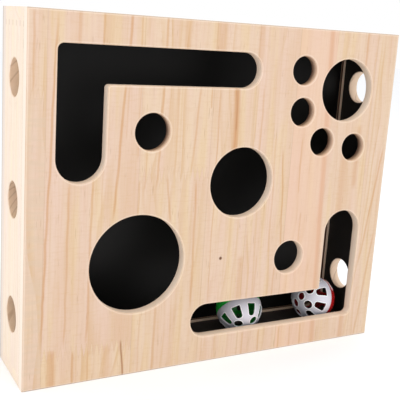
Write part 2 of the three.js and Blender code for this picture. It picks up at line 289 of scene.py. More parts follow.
# %% [markdown]
# ## Pine
#
# The front is glued up from staves, some of them finger-jointed along their length. In one stave the
# growth rings are shells round a heart that lies outside the board, so the distance from that heart,
# bent a little by noise, gives lines that are straight, lean or close in an arch as in flat-sawn pine.
# Each year's line has its own strength, and fades in and out. Thin fibres, faint waves from the planer,
# short resin marks and a few resin-rich streaks that the photograph shows lie on top.
#
# In a noise, the number beside across, through or along says how fast the pattern changes that way:
# it is slow along the grain and quick across it.


# %% Pine staves
PINE_LIGHT, PINE_LATE = (218, 194, 172), (205, 168, 127)
FIBRE, MARK, GLUE, CUT = (194, 155, 118), (174, 134, 98), (170, 128, 92), (205, 168, 128)
FILM, PALER = (36, 33, 31), 10
FINGER_HALF_PITCH, FINGER_SLOPE = 2.2, 5.5
HEART_BESIDE, HEART_BESIDE_SPREAD = 60.0, 230.0
HEART_BEHIND, HEART_BEHIND_SPREAD = 20.0, 60.0
RING_BEND = 42.0
YEAR_WIDTH, YEAR_SPREAD = 6.5, 6.0


class Pine(Finish):
    """Pine whose grain runs along one direction. All lengths are in millimetres."""

    def __init__(
        self, name, along, across, through, seed, seams=(), joints=None, light=PINE_LIGHT, late=PINE_LATE
    ):
        super().__init__(name)
        self.set("Specular IOR Level", 0.3)
        places = {"x": self.x, "y": self.y, "z": self.z}
        self.along, self.across, self.through = places[along], places[across], places[through]
        self.seed = seed
        red, green, blue = light
        self.light = tone(*light)
        self.cream = tone(red + 2, green + 1, blue - 12)
        self.blush = tone(red + 1, green - 4, blue + 1)
        self.late = tone(*late)
        face = self.node("ShaderNodeTexCoord", output="Normal")
        self.turned = {
            axis: self.math("ABSOLUTE", self.node("ShaderNodeSeparateXYZ", {"Vector": face}, output=axis))
            for axis in "XYZ"
        }
        self.find_piece(seams, joints or {})
        self.grow()

    def find_piece(self, seams, joints):
        """Numbers the pieces: staves between seams, and the two halves of a finger-jointed stave."""
        stave = self.across * 0.0
        self.seams = stave
        for seam in seams:
            stave = stave + self.math("GREATER_THAN", self.across, seam)
            near = self.math("ABSOLUTE", self.across - seam)
            self.seams = self.math("MAXIMUM", self.seams, self.fall(near, 0.1, 0.7))
        wave = self.math("PINGPONG", self.across, FINGER_HALF_PITCH)
        fingers = self.along + (wave - FINGER_HALF_PITCH / 2) * FINGER_SLOPE
        past = self.across * 0.0
        for number, height in joints.items():
            here = self.math("COMPARE", stave, float(number), 0.4)
            past = past + here * self.math("GREATER_THAN", fingers, height)
            near = self.math("ABSOLUTE", fingers - height)
            self.seams = self.math("MAXIMUM", self.seams, here * self.fall(near, 0.2, 1.2))
        self.piece = stave * 2.0 + past + self.seed * 1.7

    def paint(self, mask, colour):
        """Lays a colour, 0 to 255, over the wood as far as a mask says."""
        self.colour = self.mix(mask, self.colour, tone(*colour))

    def grow(self):
        """The colour of plain wood: rings, fibres, marks, and a tone of its own for each piece."""
        piece = self.piece
        lean, size, depth, shade, warmth = (self.chance(piece * 1.31 + k * 17.9) for k in range(5))
        bend = self.noise(self.across * 0.02, self.through * 0.02, self.along * 0.005 + piece * 5.0)
        sideways = self.across - HEART_BESIDE - lean * HEART_BESIDE_SPREAD + (bend - 0.5) * RING_BEND
        deep = self.through + HEART_BEHIND + depth * HEART_BEHIND_SPREAD
        radius = self.math("SQRT", sideways * sideways + deep * deep)
        rings = radius / (YEAR_WIDTH + size * YEAR_SPREAD)
        year = self.math("FLOOR", rings)
        share = self.math("FRACT", rings)
        strength = self.chance(year * 1.37 + piece * 3.3)
        line = self.step(share, 0.5, 0.93) * self.fall(share, 0.94, 1.0) * (strength * 0.85 + 0.1)
        fade = self.noise(self.across * 0.05, self.through * 0.05, self.along * 0.009 + self.seed * 3.0)
        self.rings = line * self.step(fade, 0.32, 0.62)

        broad = self.noise(self.across * 0.07, self.through * 0.05, self.along * 0.006 + piece)
        grain = self.noise(self.across * 0.42, self.through * 0.4, self.along * 0.011, detail=3.0)
        self.fibre = self.noise(self.across * 1.9, self.through * 1.9, self.along * 0.035, detail=3.0)
        marks = self.noise(self.across * 0.9 + 40, self.through * 0.9, self.along * 0.06, detail=1.0)
        waves = self.noise(self.across * 0.1, self.through * 0.1, self.along * 0.6)

        hue = self.noise(self.across * 0.09, self.through * 0.1, self.along * 0.008 + piece * 2.0)
        colour = self.mix(shade * 0.5, self.light, self.cream)
        colour = self.mix(warmth * 0.6, colour, self.blush)
        colour = self.mix(self.step(hue, 0.5, 0.66) * 0.7, colour, self.cream)
        colour = self.mix(self.fall(hue, 0.34, 0.5) * 0.6, colour, self.blush)
        colour = self.mix(self.step(broad, 0.4, 0.68) * 0.3, colour, self.late)
        colour = self.mix(self.rings * 0.7, colour, self.late)
        colour = self.mix(self.step(grain, 0.48, 0.72) * 0.3, colour, self.late)
        self.colour = self.mix(self.step(self.fibre, 0.45, 0.75) * 0.2, colour, tone(*FIBRE))
        self.colour = self.mix(self.step(waves, 0.48, 0.68) * 0.18, self.colour, self.late)
        self.paint(self.step(marks, 0.66, 0.74) * 0.4, MARK)
        self.paint(self.seams * 0.2, GLUE)

    def streaks(self, rows, dark):
        """Resin-rich lines: place, low and high end, half width, strength, and lean from middle to top."""
        wander = (self.noise(self.along * 0.03, self.across * 0.01, self.seed) - 0.5) * 3.0
        across = self.across + wander
        total = self.across * 0.0
        for place, low, high, half, strength, lean in rows:
            middle, reach = (low + high) / 2, (high - low) / 2
            run = self.math("MULTIPLY_ADD", self.along, 1 / reach, -middle / reach)
            line = self.math("MULTIPLY_ADD", run, -lean, across)
            beside = self.fall(self.math("ABSOLUTE", line - place), half * 0.1, half * 1.1)
            beyond = self.fall(self.math("ABSOLUTE", run), 0.75, 1.0)
            total = self.math("MAXIMUM", total, beside * beyond * strength)
        grain = self.noise(self.across * 0.9, self.through * 0.9, self.along * 0.02)
        self.paint(total * (grain * 0.9 + 0.55), dark)

    def end_grain(self, axis, strength, colour=CUT):
        """Faces that look along an axis get another tone, as cuts across the grain do."""
        cut = self.step(self.turned[axis], 0.45, 0.95)
        self.paint(cut * strength, colour)

    def film(self, mask, black=FILM):
        """The black film on the faces that look into the box."""
        grain = self.noise(self.x * 0.9, self.y * 0.9, self.z * 0.9, detail=3.0)
        paler = [part + PALER for part in black]
        film = self.mix(grain, tone(*black), tone(*paler))
        self.colour = self.mix(mask, self.colour, film)

    def finish(self):
        """Sends the colour, a gloss and a relief to the shader."""
        self.set("Base Color", self.colour)
        self.set("Roughness", self.fibre * 0.12 + 0.5)
        self.relief(self.fibre * 0.6 + self.rings * 0.3, 0.25, 0.0002)


print("tones of pine:", tone(*PINE_LIGHT)[:3], tone(*PINE_LATE)[:3])

# %% [markdown]
# ## The front panel's own wood
#
# The streaks were read off the photograph one by one. Each row is a place across the panel, its lower
# and upper end, half its width, its strength, and how far it leans, all lengths in millimetres. The
# staves' seams and the heights of their finger joints were read the same way.

# %% Staves and streaks of the front
SEAMS = (15, 92, 156, 197, 239, 279, 326)
JOINTS = {0: 235, 1: 28, 2: 172}
STREAKS = [
    (18.4, 24, 306, 1.5, 0.6, 4.4),
    (5.0, 236, 300, 1.4, 0.35, 0),
    (39.5, 268, 306, 2.2, 0.35, 0),
    (58.5, 268, 306, 1.2, 0.4, 0),
    (80.7, 270, 306, 1.7, 0.6, 0.6),
    (89.5, 268, 306, 1.0, 0.3, 0),
    (111.0, 262, 306, 1.5, 0.45, 0),
    (129.0, 262, 306, 4.2, 0.35, 0),
    (159.0, 262, 306, 8.0, 0.3, 0),
    (34.0, 26, 176, 1.4, 0.45, 0.8),
    (53.0, 26, 180, 1.5, 0.5, 1.0),
    (61.5, 140, 250, 0.9, 0.22, 0),
    (74.8, 132, 252, 1.6, 0.6, 3.4),
    (80.5, 200, 250, 1.0, 0.25, 0.5),
    (90.5, 182, 250, 1.0, 0.35, 0.3),
    (98.0, 158, 200, 1.0, 0.35, 0),
    (109.5, 158, 250, 1.4, 0.5, 1.2),
    (124.0, 170, 250, 1.3, 0.3, 0),
    (141.5, 168, 250, 1.4, 0.4, 2.8),
    (145.4, 48, 172, 1.5, 0.5, -1.0),
    (154.5, 226, 246, 1.1, 0.5, 0),
    (162.6, 46, 250, 1.0, 0.4, -0.4),
    (93.0, 138, 170, 1.3, 0.4, 0),
    (120.0, 130, 172, 1.3, 0.45, -2.6),
    (23.5, -16, 34, 4.8, 0.6, -0.6),
    (41.0, -12, 30, 1.4, 0.45, 0),
    (54.0, -12, 30, 1.0, 0.4, 0),
    (70.0, -14, 32, 5.4, 0.24, 0),
    (98.7, -16, 58, 1.2, 0.3, 0),
    (112.5, -16, 62, 1.7, 0.38, 0.4),
    (129.0, -16, 60, 4.5, 0.2, 0),
    (160.0, -16, 24, 1.2, 0.25, 0),
    (172.0, -16, 24, 1.4, 0.25, 0),
    (179.2, 180, 256, 4.0, 0.8, -1.2),
    (194.0, 52, 98, 4.5, 0.3, 0),
    (198.0, 262, 306, 3.8, 0.3, 0),
    (205.0, 168, 250, 1.2, 0.35, 0),
    (211.0, 52, 96, 1.2, 0.25, 0),
    (222.5, 90, 212, 1.3, 0.28, -1.0),
    (233.6, 92, 196, 1.2, 0.55, -3.6),
    (231.0, 46, 84, 1.2, 0.42, 0),
    (250.6, 148, 204, 1.0, 0.38, 0),
    (256.0, 102, 134, 1.0, 0.32, 0),
    (299.0, 118, 192, 5.8, 0.35, 0),
    (313.5, 236, 306, 1.9, 0.45, 0.4),
    (314.0, 150, 216, 4.2, 0.4, 0),
    (330.0, 96, 306, 1.0, 0.22, 1.0),
    (338.2, 72, 196, 1.6, 0.5, 8.4),
    (340.0, -6, 112, 1.7, 0.42, 6.0),
    (202.5, -16, 24, 1.2, 0.3, 0),
    (220.0, -16, 24, 1.4, 0.38, 0),
    (242.5, -16, 24, 1.3, 0.42, 0),
    (255.0, -16, 24, 1.1, 0.32, 0),
    (267.0, -16, 24, 1.4, 0.42, 0),
    (317.0, -16, 40, 4.5, 0.42, 0),
]
DARK_STREAKS = [
    (84.7, -16, 34, 1.3, 0.75, -1.9),
    (179.0, 206, 246, 1.5, 0.3, -0.6),
]
print("streaks:", len(STREAKS) + len(DARK_STREAKS))

# %% [markdown]
# ## Colour along the front
#
# One stave is pinker than the rest and has a red-brown edge, and the first stave is greyer and shows
# faint ripples from the saw. A pin knot sits near the middle.

# %% Front pine
PINK_STAVE, PINK = (239, 280), (226, 187, 165)
RUST_EDGE, RUST_LEAN, RUST = 282.5, 0.034, (206, 154, 120)
RIPPLE_GREY = (208, 184, 160)
RESIN, DARK_RESIN = (196, 144, 96), (160, 108, 66)
KNOT, KNOT_BROWN = (173.5, 95.5), (104, 64, 38)
front_pine = Pine("pine_front", along="z", across="x", through="y", seed=3.0, seams=SEAMS, joints=JOINTS)


def colour_staves(pine):
    """The pink stave, its red-brown edge, and the grey first stave with its ripples."""
    pink = pine.between(pine.x, *PINK_STAVE, 0.6)
    pine.paint(pink * 0.4, PINK)
    rust = pine.math("ABSOLUTE", pine.x + pine.z * RUST_LEAN - RUST_EDGE)
    pine.paint(pine.fall(rust, 0.8, 4.2) * 0.5, RUST)
    ripple = pine.noise(pine.z * 0.22, pine.x * 0.03, 2.0, detail=1.0)
    grey = pine.fall(pine.x, 14.6, 15.2) * pine.fall(pine.z, 226, 236)
    pine.paint(grey * (pine.step(ripple, 0.4, 0.6) * 0.4 + 0.15), RIPPLE_GREY)


colour_staves(front_pine)
front_pine.streaks(STREAKS, dark=RESIN)
front_pine.streaks(DARK_STREAKS, dark=DARK_RESIN)
front_pine.paint(front_pine.fall(front_pine.distance(*KNOT), 0.8, 2.0) * 0.95, KNOT_BROWN)
print("front pine nodes so far:", len(front_pine.tree.nodes))

# %% [markdown]
# ## Cut edges, painted light and shade, and paint on the front
#
# The band beside the cut edges gets a painted highlight, and the walls of the cut-outs are painted
# lighter, with painted shade a little darker inwards. The inner face is black. The walls of the small
# holes get painted shade, brown at the front and darker towards the back. Each round cut-out is a
# place on the panel and a diameter, and the ones with painted shade come first.

# %% Edges and paint
HOLES = [
    (246.4, 261.2, 25.5),
    (247.8, 224.55, 25.5),
    (272.1, 197.4, 25.5),
    (308.7, 192.1, 25.5),
    (102.7, 207.4, 31.0),
    (246.4, 90.1, 31.0),
    (295.6, 244.8, 56.6),
    (189.7, 162.7, 62.0),
    (95.0, 97.0, 84.4),
]
# The small holes whose walls get painted shade, and how far it reaches from their centres.
SHADED_HOLES = HOLES[:5]
SHADE_REACH = 16.0
# Painted highlight beside the cuts, and painted light and painted shade on the walls of the cut-outs.
EDGE_HIGHLIGHT, WALL_LIGHT, CUT_SHADE = (249, 234, 217), (250, 230, 210), (168, 130, 104)
# Painted shade in the small holes, brown at the front and dark towards the back.
HOLE_SHADE_SOFT, HOLE_SHADE_DEEP = (226, 184, 150), (86, 50, 34)
# Painted shade for a thin line along the outer edges, and a painted highlight for the outer sides.
BORDER_SHADE, SIDE_HIGHLIGHT = (168, 152, 136), (243, 229, 214)


def paint_edge_light_and_shade(pine):
    """Painted highlight on the band beside the cuts, painted light on the walls of the cut-outs, and painted
    shade deeper in.
    """
    rim = pine.node("ShaderNodeAttribute", output="Fac", attribute_name="rim")
    rim = rim * pine.step(pine.turned["Y"], 0.9, 0.99) * pine.fall(pine.y, 0.1, 0.3)
    pine.paint(rim * 0.32, EDGE_HIGHLIGHT)
    wall = pine.between(pine.x, 0.5, WIDTH - 0.5, 0.5) * pine.fall(pine.turned["Y"], 0.2, 0.9)
    pine.paint(wall * 0.75, WALL_LIGHT)
    pine.paint(wall * pine.step(pine.y, 3.0, FRONT_THICKNESS) * 0.16, CUT_SHADE)


def paint_small_hole_shade(pine):
    """Painted shade on the walls of the small holes: brown, and darker towards the back."""
    near = pine.across * 0.0
    for x, z, _ in SHADED_HOLES:
        near = pine.math("MAXIMUM", near, pine.fall(pine.distance(x, z), SHADE_REACH, SHADE_REACH + 1.0))
    wall = near * pine.fall(pine.turned["Y"], 0.2, 0.7)
    pine.paint(wall * 0.6, HOLE_SHADE_SOFT)
    pine.paint(wall * pine.step(pine.y, 1.0, 8.0) * 0.85, HOLE_SHADE_DEEP)


def paint_border_shade_and_side_light(pine):
    """Painted shade as a thin grey line along the top, lower and right edges, and a painted highlight on the
    outer sides.
    """
    level = pine.step(pine.math("ABSOLUTE", pine.z - HEIGHT / 2), HEIGHT / 2 - 1.0, HEIGHT / 2 - 0.4)
    border = pine.math("MAXIMUM", level, pine.step(pine.x, WIDTH - 1.0, WIDTH - 0.4))
    pine.paint(border * pine.fall(pine.y, 1.0, 1.4) * 0.6, BORDER_SHADE)
    side = pine.step(pine.math("ABSOLUTE", pine.x - WIDTH / 2), WIDTH / 2 - 0.1, WIDTH / 2 - 0.05)
    pine.paint(side * 0.8, SIDE_HIGHLIGHT)


paint_edge_light_and_shade(front_pine)
paint_small_hole_shade(front_pine)
paint_border_shade_and_side_light(front_pine)
front_pine.end_grain("Z", 0.25)
front_pine.film(front_pine.step(front_pine.y, FRONT_THICKNESS - 0.15, FRONT_THICKNESS - 0.1))
front_pine.finish()
print("front pine nodes:", len(front_pine.tree.nodes))

# %% [markdown]
# ## The wood of the boards and of the rear frame
#
# The side, top and bottom boards get a paler, less saturated tone, partly their own wood and partly a
# painted highlight of the brightly lit left face, so that it reads as one cream surface, with the teeth
# of a finger joint near its top. Their inner faces carry the black film, and the walls of their holes
# show other wood crossed by a few rings: brown on the left, pale on the right. The rear frame's inner
# edges get painted shade and its front faces a painted highlight. Its outer faces are paler, and turn
# greyer towards the back.

# %% Side, top and bottom boards
# A paler, less saturated tone for the boards: partly their own wood, partly a painted highlight of the
# brightly lit left face.
CREAM_AND_HIGHLIGHT = {"light": (237, 221, 206), "late": (227, 205, 182)}
TEETH, TOOTH_BROWN = (283.2, 289.0), (190, 160, 134)
HOLE_BROWN, HOLE_PALE, HOLE_RING = (226, 184, 144), (255, 230, 204), (150, 110, 78)
LEVEL_CUT, LEVEL_FILM = (238, 216, 188), (55, 50, 47)


def inner_face(pine, place, size):
    """1 on the faces that look into the box and 0 on the outer ones, for boards at both its ends."""
    face = size / 2 - BOARD_THICKNESS
    return pine.fall(pine.math("ABSOLUTE", place - size / 2), face + 0.1, face + 0.2)


side_pine = Pine("pine_side_boards", "z", "y", "x", seed=11.0, **CREAM_AND_HIGHLIGHT)
teeth = side_pine.step(side_pine.math("PINGPONG", side_pine.y - 4.0, 5.2), 3.2, 4.6)
side_pine.paint(teeth * side_pine.between(side_pine.z, *TEETH, 1.2) * 0.36, TOOTH_BROWN)
for axis in "YZ":
    side_pine.end_grain(axis, 0.6, colour=HOLE_BROWN)
hole_wall = side_pine.fall(side_pine.turned["X"], 0.3, 0.6)
right_half = side_pine.step(side_pine.x, WIDTH / 2, WIDTH / 2 + 1)
side_pine.paint(right_half * hole_wall * 0.9, HOLE_PALE)
slanted = side_pine.z * 0.09 - side_pine.x * 0.1
ring = side_pine.noise(side_pine.x * 0.02, side_pine.y * 0.03, slanted, detail=0.0)
side_pine.paint(side_pine.between(ring, 0.42, 0.52, 0.04) * hole_wall * 0.3, HOLE_RING)
inward = inner_face(side_pine, side_pine.x, WIDTH)
side_pine.film(inward * side_pine.step(side_pine.turned["X"], 0.5, 0.9))

level_pine = Pine("pine_level_boards", "x", "y", "z", seed=23.0, **CREAM_AND_HIGHLIGHT)
level_pine.end_grain("X", 0.2, colour=LEVEL_CUT)
inward = inner_face(level_pine, level_pine.z, HEIGHT)
level_pine.film(inward * level_pine.step(level_pine.turned["Z"], 0.5, 0.9), black=LEVEL_FILM)
print("board pines:", side_pine.material.name, level_pine.material.name)

# %% Rear frame
FRAME = {"light": (236, 210, 184), "late": (214, 180, 146)}
# Painted shade for the rear frame's inner edges, and a painted highlight for its front faces.
INNER_SHADE, FRONT_HIGHLIGHT = (96, 58, 42), (255, 226, 200)
OUTER_PALE, OUTER_GREY = (224, 210, 200), (180, 172, 166)
FRAME_FRONT = DEPTH - REAR_FRAME_DEPTH


def paint_frame_light_and_shade(pine, middle, axis):
    """Painted shade on the inner edges, which face an axis, a painted highlight on the front faces, and
    paler outer faces.
    """
    away = pine.math("ABSOLUTE", pine.across - middle)
    inner = pine.fall(away, middle - 6.0, middle - 4.0) * pine.fall(pine.y, FRAME_FRONT + 2, FRAME_FRONT + 4)
    pine.paint(inner * (pine.step(pine.turned[axis], 0.5, 0.9) * 0.85 + 0.08), INNER_SHADE)
    front = pine.fall(pine.y, FRAME_FRONT + 0.2, FRAME_FRONT + 0.4) * pine.step(pine.turned["Y"], 0.5, 0.9)
    pine.paint(front * 0.8, FRONT_HIGHLIGHT)
    outer = pine.step(away, middle - 0.3, middle - 0.1)
    pine.paint(outer * 0.85, OUTER_PALE)
    pine.paint(outer * pine.step(pine.y, FRAME_FRONT + 5, FRAME_FRONT + 8) * 0.6, OUTER_GREY)


stile_pine = Pine("pine_stiles", "z", "x", "y", seed=31.0, **FRAME)
rail_pine = Pine("pine_rails", "x", "z", "y", seed=47.0, **FRAME)
paint_frame_light_and_shade(stile_pine, WIDTH / 2, "X")
paint_frame_light_and_shade(rail_pine, HEIGHT / 2, "Z")
stile_pine.end_grain("Z", 0.35)
rail_pine.end_grain("X", 0.35)
for pine in (side_pine, level_pine, stile_pine, rail_pine):
    pine.finish()
print("frame pines:", stile_pine.material.name, rail_pine.material.name)

# %% [markdown]
# ## Black back
#
# The back is a thin board with a satin black face. It is not a flat black: it has a faint orange-peel
# relief and its gloss changes in wide soft patches, so that the studio's light breaks up on it.

# %% Black back
BACK, BACK_WORN = (13, 12, 11), (22, 21, 20)
black = Finish("black_board")
black.set("Specular IOR Level", 0.25)
patches = black.noise(black.x * 0.02, black.y, black.z * 0.02, detail=3.0)
peel = black.noise(black.x * 1.2, black.y * 1.2, black.z * 1.2)
black.set("Base Color", black.mix(patches, tone(*BACK), tone(*BACK_WORN)))
black.set("Roughness", patches * 0.16 + 0.4)
black.relief(peel, 0.15, 0.0002)
print("black back:", black.material.name)

# %% [markdown]
# ## Plastic and steel
#
# The balls are moulded in glossy plastic. It is smooth but never perfect: flow marks change its tone,
# and handling leaves fine scuffs that change the gloss. The raised lips get a painted highlight. Each
# half has a second colour inside the ball, painted light and shade: the white half takes the tint of
# light that comes through the coloured half, and the coloured half is darker inside. The bells are
# pressed from dull plated sheet.


# %% Plastic and steel
BALL, WALL, PROUD = 22.0, 1.6, 0.09
BALLS = {
    "green": {"centre": (216.125, 31.3, 32.3), "azimuth": -93.5, "elevation": -39.4, "spin": 36.5},
    "red": {"centre": (303.8, 31.3, 32.3), "azimuth": -161.4, "elevation": 17.0, "spin": 32.0},
}


def moulded(name, ball, colour, shade, lip_highlight, inside_light_and_shade):
    """A plastic with flow marks and scuffs, a painted highlight on the lips, and painted light and shade as
    another tint inside the ball.
    """
    plastic = Finish(name, coat=0.15)
    flow = plastic.noise(plastic.x * 0.12, plastic.y * 0.12, plastic.z * 0.12, detail=3.0)
    scuff = plastic.noise(plastic.x * 2.6, plastic.y * 0.7, plastic.z * 1.9, detail=4.0)
    base = plastic.mix(flow * 0.6, tone(*colour), tone(*shade))
    places = (plastic.x, plastic.y, plastic.z)
    x, y, z = (place - middle for place, middle in zip(places, BALLS[ball]["centre"]))
    radius = plastic.math("SQRT", x * x + y * y + z * z)
    # The raised lips get a painted highlight, and the inside of the ball gets painted light and shade.
    proud = plastic.step(radius, BALL, BALL + PROUD)
    base = plastic.mix(proud, base, tone(*lip_highlight))
    inside = plastic.fall(radius, BALL - WALL, BALL - WALL / 3)
    base = plastic.mix(inside, base, tone(*inside_light_and_shade))
    plastic.set("Base Color", base)
    plastic.set("Roughness", plastic.step(scuff, 0.5, 0.8) * 0.2 + 0.2)
    plastic.relief(flow * 0.7 + scuff * 0.1, 0.2, 0.0002)
    return plastic.material


# Each plastic: its colour, its flow-mark tone and the painted highlight of its lips. The inner tint given
# with each is painted light and shade.
WHITE = ((216, 215, 225), (200, 200, 212), (252, 252, 254))
GREEN = ((44, 206, 76), (32, 182, 62), (90, 220, 115))
RED = ((172, 24, 26), (142, 16, 20), (200, 50, 46))
plastics = {
    ("green", "white"): moulded("white_in_green", "green", *WHITE, inside_light_and_shade=(46, 160, 72)),
    ("green", "green"): moulded("green_plastic", "green", *GREEN, inside_light_and_shade=(16, 140, 44)),
    ("red", "white"): moulded("white_in_red", "red", *WHITE, inside_light_and_shade=(108, 22, 22)),
    ("red", "red"): moulded("red_plastic", "red", *RED, inside_light_and_shade=(150, 18, 20)),
}

STEEL, STEEL_RUBBED = (66, 62, 58), (42, 38, 35)
steel = Finish("bell_steel", metallic=1.0)
rub = steel.noise(steel.x * 0.6, steel.y * 0.6, steel.z * 0.6, detail=4.0)
steel.set("Base Color", steel.mix(rub, tone(*STEEL), tone(*STEEL_RUBBED)))
steel.set("Roughness", rub * 0.25 + 0.3)
steel.relief(rub, 0.1, 0.0002)
print("plastics:", len(plastics))

# %% [markdown]
# ## From a measured node to a dressed piece
#
# The measured boards are flat triangles. A dressed copy has them welded, its edges eased a little where
# they show, and its curves shaded smooth. It stays exactly where the node is and stands for it.


# %% Dressed copies
CORNER_ANGLE = math.radians(60)
WELD = 1e-6


def new_piece(name, mesh, material, slot, body, *stands_for):
    """Puts a mesh in the scene as a piece that moves with a body."""
    piece = bpy.data.objects.new(name, mesh)
    scene.collection.objects.link(piece)
    mesh.materials.clear()
    mesh.materials.append(material)
    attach(piece, body)
    if stands_for:
        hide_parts(*stands_for)
    return piece


def shade_evenly(piece):
    """Lets the large faces decide how the narrow eased ones beside them are shaded."""
    weight = piece.modifiers.new("even_shading", "WEIGHTED_NORMAL")
    weight.keep_sharp = True


def outside(edge):
    """Whether an edge lies on the box's top or underside."""
    return all(abs(abs(v.co.z / MM - HEIGHT / 2) - HEIGHT / 2) < 0.1 for v in edge.verts)


def dressed(node, material, slot, ease=0.3, angle=35.0, chosen=None):
    """A welded copy of a node with eased edges, in millimetres, or with the chosen ones eased."""
    bm = bmesh.new()
    bm.from_mesh(nodes[node].data)
    bmesh.ops.remove_doubles(bm, verts=bm.verts, dist=WELD)
    bmesh.ops.dissolve_limit(bm, angle_limit=math.radians(0.5), verts=bm.verts, edges=bm.edges)
    if ease:
        corners = [e for e in bm.edges if e.is_manifold and e.calc_face_angle(0) > CORNER_ANGLE]
        if chosen:
            corners = [e for e in corners if chosen(e)]
        bmesh.ops.bevel(
            bm, geom=corners, offset=ease * MM, segments=2, profile=0.5, affect="EDGES", material=-1
        )
    mesh = bpy.data.meshes.new(node + "_dressed")
    bm.to_mesh(mesh)
    bm.free()
    mesh.shade_smooth()
    mesh.set_sharp_from_angle(angle=math.radians(angle))
    piece = new_piece(node + "_dressed", mesh, material, slot, nodes[node]["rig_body"], node)
    shade_evenly(piece)


for node in ("left_side_board", "right_side_board"):
    dressed(node, side_pine.material, "pine_board", ease=0)
for node in ("bottom_board", "top_board"):
    dressed(node, level_pine.material, "pine_board", ease=0.25, chosen=outside)
for node in ("rear_stile_left", "rear_stile_right"):
    dressed(node, stile_pine.material, "pine_rear_frame", ease=0.25)
for node in ("rear_rail_bottom", "rear_rail_top"):
    dressed(node, rail_pine.material, "pine_rear_frame", ease=0.25)
dressed("back_panel", black.material, "black_back", ease=0.2)

# %% [markdown]
# ## Front panel
#
# The front is what everyone looks at, so it is made again with finer curves. A slab is cut with one
# solid that holds all eleven shapes, and then only the cut edges and the outer front edges are
# rounded, as a router with a small rounding bit does it. A narrow band beside the cuts carries a number
# named rim, which the finish reads to paint a highlight beside the edges.
#
# The slots share one outline: each corner has its way along, its way up and its radius, from the outer
# corner. Each slot is the place of that corner on the panel, and the ways that its two legs run. The
# round end of a leg takes up its whole width, so each corner is rounded a hair less and then welded.


# %% Cutters for the front panel
HOLE_SEGMENTS, SLOT_SEGMENTS = 96, 14
SLOT = [
    (0, 0, 5.0),
    (178, 0, 15.0),
    (178, 30, 15.0),
    (40, 30, 3.0),
    (40, 106.8, 20.0),
    (0, 106.8, 20.0),
]
SLOTS = ((23, 274.2, 1, -1), (326, 24.2, -1, 1))
ROUND_SHARE, ROUND_WELD = 0.9995, 2e-5


def place_mm(x, y, z):
    """A point in millimetres from the panel's lower left front corner, as metres in the row's frame."""
    return CORNER + Vector((x, y, z)) * MM


def solid_from(bm, name):
    """An object with the mesh, its faces turned outwards."""
    bmesh.ops.recalc_face_normals(bm, faces=bm.faces)
    mesh = bpy.data.meshes.new(name)
    bm.to_mesh(mesh)
    bm.free()
    piece = bpy.data.objects.new(name, mesh)
    scene.collection.objects.link(piece)
    return piece


def baked(piece):
    """The piece's mesh with its modifiers applied. The piece is removed."""
    view = bpy.context.evaluated_depsgraph_get()
    mesh = bpy.data.meshes.new_from_object(piece.evaluated_get(view))
    bpy.data.objects.remove(piece)
    return mesh


def carve(piece, cutter, operation="DIFFERENCE"):
    """Cuts a piece with another solid, joins them, or keeps what both fill."""
    cut = piece.modifiers.new(operation.lower(), "BOOLEAN")
    cut.operation = operation
    cut.solver = "EXACT"
    cut.object = cutter


def add_part(bm, part):
    """Moves what one bmesh holds into another."""
    shape = bpy.data.meshes.new("part")
    part.to_mesh(shape)
    part.free()
    bm.from_mesh(shape)
    bpy.data.meshes.remove(shape)


def drill(bm, x, z, diameter):
    """A cylinder through the panel."""
    turn = Matrix.Translation(place_mm(x, FRONT_THICKNESS / 2, z)) @ Matrix.Rotation(math.pi / 2, 4, "X")
    bmesh.ops.create_cone(
        bm, cap_ends=True, segments=HOLE_SEGMENTS, radius1=diameter / 2 * MM, radius2=diameter / 2 * MM,
        depth=3 * FRONT_THICKNESS * MM, matrix=turn,
    )


def route_slot(bm, x, z, right_way, up_way):
    """An L-shaped bar through the panel, from the place of its outer corner."""
    part = bmesh.new()
    corners = [place_mm(x + right_way * u, -FRONT_THICKNESS, z + up_way * v) for u, v, _ in SLOT]
    verts = [part.verts.new(corner) for corner in corners]
    part.faces.new(verts)
    for vert, (_, _, radius) in zip(verts, SLOT):
        bmesh.ops.bevel(
            part, geom=[vert], offset=radius * MM * ROUND_SHARE, segments=SLOT_SEGMENTS, profile=0.5,
            affect="VERTICES", material=-1,
        )
    bmesh.ops.remove_doubles(part, verts=part.verts, dist=ROUND_WELD)
    grown = bmesh.ops.extrude_face_region(part, geom=list(part.faces))
    top = [g for g in grown["geom"] if isinstance(g, bmesh.types.BMVert)]
    bmesh.ops.translate(part, vec=Vector((0, 3 * FRONT_THICKNESS * MM, 0)), verts=top)
    bmesh.ops.recalc_face_normals(part, faces=part.faces)
    add_part(bm, part)


bm = bmesh.new()
bmesh.ops.create_cube(bm, size=1.0)
bmesh.ops.scale(bm, vec=Vector((WIDTH, FRONT_THICKNESS, HEIGHT)) * MM, verts=bm.verts)
bmesh.ops.translate(bm, vec=place_mm(WIDTH / 2, FRONT_THICKNESS / 2, HEIGHT / 2), verts=bm.verts)
slab = solid_from(bm, "slab")

bm = bmesh.new()
for hole in HOLES:
    drill(bm, *hole)
for slot in SLOTS:
    route_slot(bm, *slot)
cutter = solid_from(bm, "panel_cutter")
carve(slab, cutter)
panel_mesh = baked(slab)
bpy.data.objects.remove(cutter)
print("cut panel faces:", len(panel_mesh.polygons))

# %% Rounded edges
ARRIS, BAND = 1.0, 0.8
CUT_ANGLE = math.radians(50)
SAME = 1e-6


def is_cut_or_front(edge, lowest, highest):
    """Whether an edge goes round a cut-out, or round the front face."""
    if not edge.is_manifold or edge.calc_face_angle(0) < CUT_ANGLE:
        return False
    first, second = (v.co for v in edge.verts)
    level = abs(first.y - second.y) < SAME
    at_front = abs(first.y - lowest.y) < SAME
    outer = any(
        abs(end[axis] - side[axis]) < SAME for end in (first, second) for side in (lowest, highest)
        for axis in (0, 2)
    )
    return level and (at_front or not outer)


